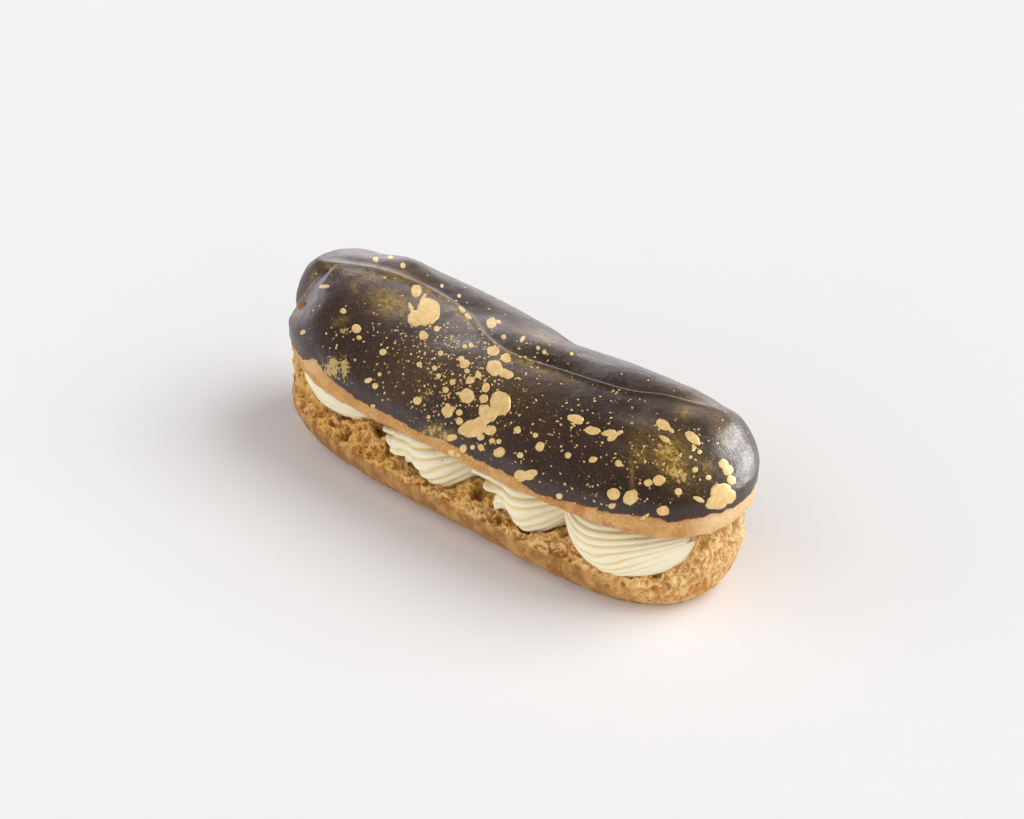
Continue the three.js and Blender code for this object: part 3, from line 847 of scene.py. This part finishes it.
def camera():
    data = bpy.data.cameras.new("camera")
    data.lens, data.sensor_width = LENS, SENSOR
    data.clip_start, data.clip_end = 0.01, 20
    made = placed("camera", data)
    away = Vector(CAMERA_AIM) - Vector(CAMERA_AT)
    turn = away.to_track_quat("-Z", "Y").to_matrix() @ Matrix.Rotation(math.radians(CAMERA_ROLL), 3, "Z")
    made.matrix_world = Matrix.Translation(Vector(CAMERA_AT) * MM) @ turn.to_4x4()
    bpy.context.scene.camera = made


def pixel_ray(pixel):
    """From the camera through a pixel of the photograph, in millimetres."""
    place = bpy.context.scene.camera.matrix_world
    x = (pixel[0] - IMAGE_WIDTH / 2) / IMAGE_WIDTH * SENSOR / LENS
    y = -(pixel[1] - IMAGE_HEIGHT / 2) / IMAGE_WIDTH * SENSOR / LENS
    direction = place.to_3x3() @ Vector((x, y, -1))
    return place.translation / MM, direction.normalized()


# Splashes of gold: a pixel of the photograph, the width and height seen there in millimetres, and a
# turn in degrees. Those that overlap make one puddle.
SPLASHES = [
    # The comma at the left of the crease
    (429, 310, 6.2, 6.4), (416.5, 318, 4.9, 4.5, 20), (424, 318, 4.5, 3.4, 15), (416, 291, 2.9, 3),
    (411.5, 309, 1, 3.6, 20), (423, 298, 0.8, 2.8, -35),
    # The crowd at the middle
    (500, 402.5, 5.2, 6, -25), (492, 413, 3.2, 4.5, -30), (485, 411, 3.5, 3.4), (485.6, 418, 2.9, 3),
    (473, 428, 7, 4.3, 10), (480, 422, 4, 3, 30), (490.5, 430, 3, 2.2, 15), (467.3, 396, 3.7, 3.8),
    (460, 393.5, 2, 0.8), (447.7, 411.5, 3, 2.8), (447.5, 406, 1.4, 1.5), (459.3, 421, 1.9, 1.9),
    (459.3, 412.5, 1.6, 1.6), (483.5, 398.5, 2.2, 2), (486, 387.5, 1.9, 2.6, -15),
    (494, 367.7, 3.9, 3.9, 10), (503.5, 373, 2.6, 2.2), (508.5, 374.5, 2.6, 2.2), (493, 351, 2.9, 2.5),
    (505.5, 358.4, 2.4, 2.2), (464.5, 363.6, 2.5, 2.3), (461, 358.6, 1.7, 1.2, 20),
    (478.4, 374.8, 1.6, 1.6), (469.8, 380.2, 2.1, 1.9), (452.5, 382, 1.5, 1.4),
    (445.7, 390, 1.6, 1.5, 30), (467, 371, 1.4, 1.2), (480.6, 437, 2, 1.6, 10), (492, 441, 1.5, 1.4),
    (480.6, 447.3, 1.5, 1.7, 20), (472.5, 447.3, 1.2, 1.2), (463, 449, 1.8, 2.3, -20),
    (499.2, 452.5, 2.8, 2.6, 20), (452, 437.7, 2.6, 1.6, 15), (417.5, 400.2, 2.2, 2),
    (428.5, 417, 1, 1),
    # Left of the middle
    (423.4, 335.5, 2.3, 2.3), (436.8, 328.8, 1.6, 1.6), (356.4, 328.4, 2.5, 2.4),
    (359, 337.7, 1.3, 1.2), (343, 311, 1.7, 1.4), (324, 286.4, 3.1, 0.95, 4),
    (302.9, 332.3, 1.6, 1.1, 25), (382.9, 352, 1.8, 1.6), (419.3, 364.5, 1.4, 1.3),
    (434.6, 368.2, 1.3, 1.3), (438.6, 375.7, 1.2, 1.2), (440.4, 353.4, 1.3, 1.4, -30),
    (368, 380.5, 2.1, 1.2, 22), (375.2, 386, 1.6, 1.6), (379.6, 374.3, 1, 1), (464.8, 346.6, 1.2, 1.1),
    (471, 345.4, 1.3, 1.2),
    # Beyond the crease
    (491.3, 323, 2.4, 2.9, -35), (498.4, 321.8, 1.4, 1.1, -20), (503.4, 337, 1.3, 1.3),
    (522.5, 338.6, 1, 2, -35), (538, 348, 1, 1.1), (544.3, 352, 1.1, 1.2), (459, 296, 1, 1),
    (441.8, 286, 0.9, 1), (402.9, 265.4, 1.3, 1.5), (390.4, 257, 1.6, 1.4, -20),
    (375.5, 259.3, 1.6, 1.4), (571.6, 353.6, 1, 0.9), (462, 309, 2, 1.4, -45),
    (468, 316.5, 2, 1.4, -45),
    # Towards the right end
    (575.9, 419.1, 4.1, 2.2, -20), (592.5, 430.7, 3.6, 2, -8), (609, 433, 3.4, 1.5, 10),
    (617, 434, 3, 1.1, 25), (612, 438, 2.4, 1.6, 30), (663.5, 425, 3.6, 2.2, -30),
    (670.5, 430, 1.8, 1, -40), (692.5, 438, 4.5, 2.2, -40), (664.5, 438.9, 2.8, 1.2, -28),
    (694.2, 447.7, 1.1, 1.1), (699.7, 452, 1.1, 1.1), (690.5, 457, 0.8, 0.8),
    (539.8, 446.8, 2.2, 2.5, -25), (520.2, 455.4, 1.5, 1.5), (517.5, 429.8, 1.7, 1.7),
    (498.8, 441.5, 1.3, 1.3), (535.4, 435.2, 1.3, 1.3), (568, 455.4, 1.5, 1.6, -20),
    (592.9, 459.8, 2, 1.4, 15), (618.4, 463.2, 1.6, 1.7), (520.6, 475.7, 2.9, 2.8),
    (529, 474.8, 3.8, 2.5, 15), (559.3, 496.3, 1.6, 1.5), (613.2, 493.7, 3.1, 2.8),
    (611.8, 506.3, 1.7, 1.3, 15), (630.4, 497.7, 3.4, 3.9, -20), (648, 482.9, 2, 1.6),
    (659.2, 480.2, 2.9, 2.4), (663.2, 510.8, 2.9, 2.3, 5), (644.6, 517.2, 1.8, 1.3, 15),
    (678.3, 491.7, 1.8, 1.6, -20), (698.9, 499.4, 2.7, 1.1, -25), (708.5, 477.4, 1.3, 1.2),
    (723.5, 464, 2.3, 2.6), (728, 470, 2.6, 2.6, -30), (731.5, 480.3, 2.2, 2.3),
    (695, 470, 1.3, 1.4, -20),
    # The puddle at the right edge, half on the choux
    (722, 493, 5, 4.6), (714, 503, 4, 3, 25), (720, 501, 5.4, 4, 30), (729, 497, 3.4, 4),
    # On the choux strip
    (373, 406, 1.2, 1), (451.5, 453, 2, 1.6), (458, 455, 1.2, 1.1),
]

# Where the fine specks crowd: a pixel of the photograph, a reach in millimetres and a number of specks
SPECK_CROWDS = [
    (455, 385, 9, 340), (500, 375, 11, 280), (425, 345, 9, 240), (465, 330, 8, 160),
    (380, 340, 12, 190), (430, 400, 9, 240), (495, 425, 9, 180), (560, 430, 12, 230),
    (620, 470, 13, 200), (680, 450, 11, 220), (540, 350, 7, 70), (620, 392, 8, 70), (335, 335, 9, 60),
    (600, 500, 9, 70),
]
LOOSE_SPECKS = 330
SPECK_SIZE = (0.05, 0.42)
SPECK_THICKNESS = 0.06
SPLASH_THICKNESS = 0.09


# A drop's section: share of its outline and of its thickness, from the top to below the surface
DROP_PROFILE = [(0.55, 1.0), (0.86, 0.8), (1.0, 0.12), (0.97, -0.9)]
SPECK_PROFILE = [(0.7, 0.8), (1.0, -0.9)]
MOST_STRETCH = 2.2  # where the surface turns away from the camera


def turned(u, v, degrees):
    c, s = math.cos(math.radians(degrees)), math.sin(math.radians(degrees))
    return u * c - v * s, u * s + v * c


class Splatter:
    """Gathers drops of gold on a surface and joins them in one mesh. Lengths are in millimetres."""

    def __init__(self, *pieces):
        points, faces = [], []
        for piece in pieces:
            start = len(points)
            points += [vertex.co / MM for vertex in piece.data.vertices]
            faces += [[start + v for v in face.vertices] for face in piece.data.polygons]
        self.surface = BVHTree.FromPolygons(points, faces)
        self.points, self.faces, self.fine = [], [], []
        camera_turn = bpy.context.scene.camera.matrix_world.to_3x3()
        self.right, self.up = camera_turn.col[0].copy(), camera_turn.col[1].copy()
        self.random = np.random.default_rng(7)

    def at_pixel(self, pixel):
        """The place on the surface that the photograph shows at a pixel, and its normal."""
        origin, direction = pixel_ray(pixel)
        place, normal, _, _ = self.surface.ray_cast(origin, direction)
        if place is None:
            raise ValueError(f"nothing shows at pixel {pixel}")
        return place, normal, direction

    def drop(self, place, normal, right, up, outline, thickness, fine=0.0):
        """A closed drop: its outline is spread over the surface, with a rounded edge."""
        sides = len(outline)
        profile = DROP_PROFILE if sides > 9 else SPECK_PROFILE
        start = len(self.points)
        self.points.append(place + normal * thickness)
        for share, height in profile:
            for u, v in outline:
                spot, spot_normal, _, _ = self.surface.find_nearest(place + (right * u + up * v) * share)
                self.points.append(spot + spot_normal * thickness * height)
        self.points.append(place - normal * thickness)
        last = len(self.points) - 1
        for k in range(sides):
            after = (k + 1) % sides
            self.faces.append((start, start + 1 + k, start + 1 + after))
            for ring in range(len(profile) - 1):
                a = start + 1 + ring * sides
                self.faces.append((a + k, a + sides + k, a + sides + after, a + after))
            a = start + 1 + (len(profile) - 1) * sides
            self.faces.append((a + k, last, a + after))
        self.fine += [fine] * (last + 1 - start)

    def splash(self, across, down, width, height, turn=0):
        """A larger drop that looks this wide and high in the photograph."""
        place, normal, direction = self.at_pixel((across, down))
        facing = direction.dot(normal)
        right = self.right - direction * (self.right.dot(normal) / facing)
        up = self.up - direction * (self.up.dot(normal) / facing)
        up = up * min(1, MOST_STRETCH / up.length)
        right = right * min(1, MOST_STRETCH / right.length)
        sides = 14 if width < 2 else 40
        angle = np.arange(sides) / sides * 2 * math.pi
        spot = np.stack([np.cos(angle) * 1.1 + across, np.sin(angle) * 1.1 + down, angle * 0], -1)
        uneven = 1 + 0.12 * noise(spot, 1, 101) + (0.07 * noise(spot, 0.3, 102) if width >= 2 else 0)
        u, v = np.cos(angle) * uneven * width / 2, np.sin(angle) * uneven * height / 2
        outline = list(zip(*turned(u, v, turn)))
        self.drop(place, normal, right, up, outline, SPLASH_THICKNESS * min(1, 0.5 + width / 6))

    def speck(self, place, normal, size):
        across = normal.cross(Vector((0.3, 0.2, 1))).normalized()
        beside = normal.cross(across)
        sides = 5 if size < 0.2 else 8
        stretch = self.random.uniform(0.75, 1.3)
        start = self.random.uniform(0, 6)
        outline = []
        for k in range(sides):
            angle = start + k / sides * 2 * math.pi
            radius = size * self.random.uniform(0.85, 1.15)
            outline.append((math.cos(angle) * radius * stretch, math.sin(angle) * radius / stretch))
        self.drop(place, normal, across, beside, outline, SPECK_THICKNESS, 1 - size / SPECK_SIZE[1])

    def speck_size(self):
        low, high = SPECK_SIZE
        return low + (high - low) * self.random.uniform(0, 1) ** 3.1

    def crowd(self, across_picture, down, reach, count):
        place, normal, _ = self.at_pixel((across_picture, down))
        across = normal.cross(Vector((0, 0, 1))).normalized()
        beside = normal.cross(across)
        for u, v in self.random.normal(0, reach * 0.7, (count, 2)):
            spot, spot_normal, _, _ = self.surface.find_nearest(place + across * u + beside * v)
            self.speck(spot, spot_normal, self.speck_size())

    def loose(self, count):
        """Specks strewn over the whole top, also where the photograph doesn't show it."""
        for _ in range(count):
            above = Vector((self.random.uniform(-68, 68), self.random.uniform(-24, 24), 80))
            spot, normal, _, _ = self.surface.ray_cast(above, Vector((0, 0, -1)))
            if spot and spot.z > 36:
                self.speck(spot, normal, self.speck_size())

    def piece(self, name):
        mesh = bpy.data.meshes.new(name)
        mesh.from_pydata([point * MM for point in self.points], [], self.faces)
        shade_smooth(mesh)
        mark(mesh, "fine", self.fine)
        return placed(name, mesh)


def gold_spatter(material, *under):
    """Gold flicked on with a brush: puddles, drops and fine specks."""
    splatter = Splatter(*under)
    for values in SPLASHES:
        splatter.splash(*values)
    for values in SPECK_CROWDS:
        splatter.crowd(*values)
    splatter.loose(LOOSE_SPECKS)
    return finish_piece(splatter.piece("gold_spatter"), material, "gold")


# Gold dust that the brush left: a pixel of the photograph, the reach seen across and down in
# millimetres, a turn in degrees and a strength
VEILS = [
    (391, 302, 5.5, 3.2, -18, 1.1), (375, 275, 6, 2.4, -5, 0.55), (400, 277, 6, 2, -12, 0.6),
    (355, 287, 1.2, 1.8, 20, 0.6), (340, 321, 2, 1, 20, 0.6), (376, 312, 2, 1, 0, 0.5),
    (332, 267, 2.6, 0.8, -8, 0.9), (348, 272, 2, 1.2, 0, 0.5), (313, 277, 0.8, 2.4, -15, 0.6),
    (425, 290, 4, 1.6, -30, 0.8), (447, 303, 4, 1, -42, 0.8), (463, 317, 4, 0.9, -42, 0.9),
    (505, 352, 5, 1, -30, 0.7), (525, 362, 4, 1, -22, 0.8), (545, 372, 5, 1, -15, 0.6),
    (565, 380, 4, 0.9, -12, 0.5), (540, 337, 5, 1, -22, 0.8), (523, 331, 3, 0.8, -20, 0.7),
    (671, 456, 4.5, 5, 30, 1.0), (666, 447, 3.4, 2, -35, 0.9), (650, 440, 6, 5, 0, 0.35),
    (690, 470, 6, 6, 0, 0.35), (685, 412, 2.6, 1.6, 0, 0.8), (716, 418, 1.8, 1.6, 0, 0.7),
    (640, 453, 2.4, 3, 0, 0.6), (706, 467, 1.8, 1.8, 0, 0.8), (632, 470, 0.5, 4.5, 0, 0.7),
    (700, 400, 8, 4, -30, 0.3), (432, 431, 3, 1.6, 15, 0.7), (445, 436, 2.4, 1.6, 15, 0.7),
    (430, 372, 14, 8, 0, 0.16), (500, 380, 14, 10, 0, 0.16), (725, 430, 3, 5, 0, 0.4),
]

# Torn gold flakes, in the same way
FLAKES = [
    (333, 365, 2.4, 3.2, -10, 1.0), (344.8, 368.6, 1.2, 2.9, 0, 1.0), (327, 372, 1.8, 1.2, -30, 1.0),
    (666, 450, 3, 1.6, -30, 0.7), (676, 460, 2, 2.4, 0, 0.7), (675, 473, 2.4, 2, -20, 0.9),
    (684, 478, 1.2, 1.4, 0, 0.9), (432, 431, 2.6, 1.2, 15, 0.8), (444, 437, 1.8, 1.4, 10, 0.8),
    (425, 395, 1.6, 1.2, 30, 0.6), (346, 331, 1.4, 1, 0, 0.8), (640, 455, 1, 1.8, 0, 0.6),
]


def brush_gold(coat):
    """Marks where dust and flakes of gold lie on the coat."""
    points = np.empty(len(coat.data.vertices) * 3)
    coat.data.vertices.foreach_get("co", points)
    points = points.reshape(-1, 3) / MM
    place = bpy.context.scene.camera.matrix_world
    seen = (points - np.array(place.translation / MM)) @ np.array(place.to_3x3())
    normals = np.empty_like(points)
    coat.data.vertices.foreach_get("normal", normals.reshape(-1))
    towards = np.array(place.translation / MM) - points
    faces_us = (normals * towards).sum(1) > 0
    pixels_per_mm = IMAGE_WIDTH * LENS / SENSOR / -seen[:, 2:]
    pixels = seen[:, :2] * pixels_per_mm * (1, -1) + (IMAGE_WIDTH / 2, IMAGE_HEIGHT / 2)
    for name, marks in (("veil", VEILS), ("flakes", FLAKES)):
        value = np.zeros(len(points))
        for across, down, width, height, turn, strength in marks:
            u, v = turned(*((pixels - (across, down)) / pixels_per_mm).T, turn)
            value = np.maximum(value, strength * bell(u, width) * bell(v, height))
        mark(coat.data, name, value * faces_us)


LIGHTS_AIM = (0, 0, 25)

# Suns: name, place, strength, angle and colour
SUNS = [
    ("key", (400, 370, 610), 2.0, 50, (1.0, 0.99, 0.96)),
    ("fill", (-250, -600, 400), 1.5, 90, (0.98, 0.995, 1.03)),
    ("side", (700, -60, 260), 0.75, 60, (1.0, 0.98, 0.94)),
]

# Panes: name, place, width, height, power and colour
PANES = [
    ("window", (270, 560, 420), 170, 170, 8.2, (1, 1, 1)),
    ("low_window", (500, 690, 60), 120, 120, 8, (1, 1, 1)),
    ("back_wall", (-448, 776, 70), 700, 130, 1.35, (1.0, 0.94, 0.94)),
    ("left_pane", (-205, 135, 140), 110, 70, 0.23, (1.0, 0.95, 0.98)),
    ("left_wall", (-640, 60, 90), 320, 160, 0.7, (1.0, 0.95, 1.0)),
]

# The room, far off at the back left, near at the right front, and overhead
FAR_HORIZON = (1.25, 1.2, 1.3, 1)
NEAR_HORIZON = (0.5, 0.46, 0.46, 1)
OVERHEAD = (0.16, 0.14, 0.13, 1)
BACK_LEFT = (-0.8, 0.6, 0)
FLOOR_REACH = 3.0  # metres


def light(kind, name, at, colour, gloss=True, diffuse=True):
    """A lamp that lights the scene but isn't itself in view."""
    data = bpy.data.lights.new(name, kind)
    data.color = colour
    made = placed(name, data)
    made.location = Vector(at) * MM
    made.rotation_mode = "QUATERNION"
    made.rotation_quaternion = (Vector(LIGHTS_AIM) - Vector(at)).to_track_quat("-Z", "Y")
    made.visible_glossy = gloss
    made.visible_diffuse = diffuse
    made.visible_camera = False
    return data


def soft_sun(name, at, strength, angle, colour):
    """Even light from one side, wide enough for soft shadows. It makes no highlight."""
    sun = light("SUN", name, at, colour, gloss=False)
    sun.energy, sun.angle = strength, math.radians(angle)


def lit_pane(name, at, width, height, power, colour):
    """A lit pane that the chocolate mirrors. It lights nothing else."""
    pane = light("AREA", name, at, colour, diffuse=False)
    pane.shape, pane.size, pane.size_y, pane.energy = "RECTANGLE", width * MM, height * MM, power


def room_light():
    """A pale room: bright round the horizon, less so at the near right, and dim overhead."""
    world = bpy.data.worlds.new("room")
    world.use_nodes = True
    room = Nodes(world.node_tree)
    place = room.node("TexCoord").outputs["Generated"]
    away = room.node("VectorMath", {0: place, 1: BACK_LEFT}, operation="DOT_PRODUCT").outputs["Value"]
    far = room.node("MapRange", {"Value": away, "From Min": -0.6, "From Max": 0.5}).outputs["Result"]
    level = room.ramp(room.node("SeparateXYZ", {0: place}).outputs["Z"], 0.03, 0.38)
    colour = room.blend(level, room.blend(far, NEAR_HORIZON, FAR_HORIZON), OVERHEAD)
    room.put(room.tree.nodes["Background"].inputs["Color"], colour)
    bpy.context.scene.world = world


def studio():
    """A pale floor in a bright even room, with soft suns and lit panes."""
    mesh = bpy.data.meshes.new("floor")
    corners = [(x * FLOOR_REACH, y * FLOOR_REACH, 0) for x, y in ((-1, -1), (1, -1), (1, 1), (-1, 1))]
    mesh.from_pydata(corners, [], [(0, 1, 2, 3)])
    floor = placed("floor", mesh)
    mesh.materials.append(floor_material())
    room_light()
    for values in SUNS:
        soft_sun(*values)
    for values in PANES:
        lit_pane(*values)
    bpy.context.scene.view_settings.view_transform = "Standard"


camera()
studio()
choux_base(choux_crumb_material())
lid = choux_lid(choux_crust_material())
coat = chocolate_icing(chocolate_material())
brush_gold(coat)
gold_spatter(gold_material(), coat, lid)
cream_filling(cream_material())
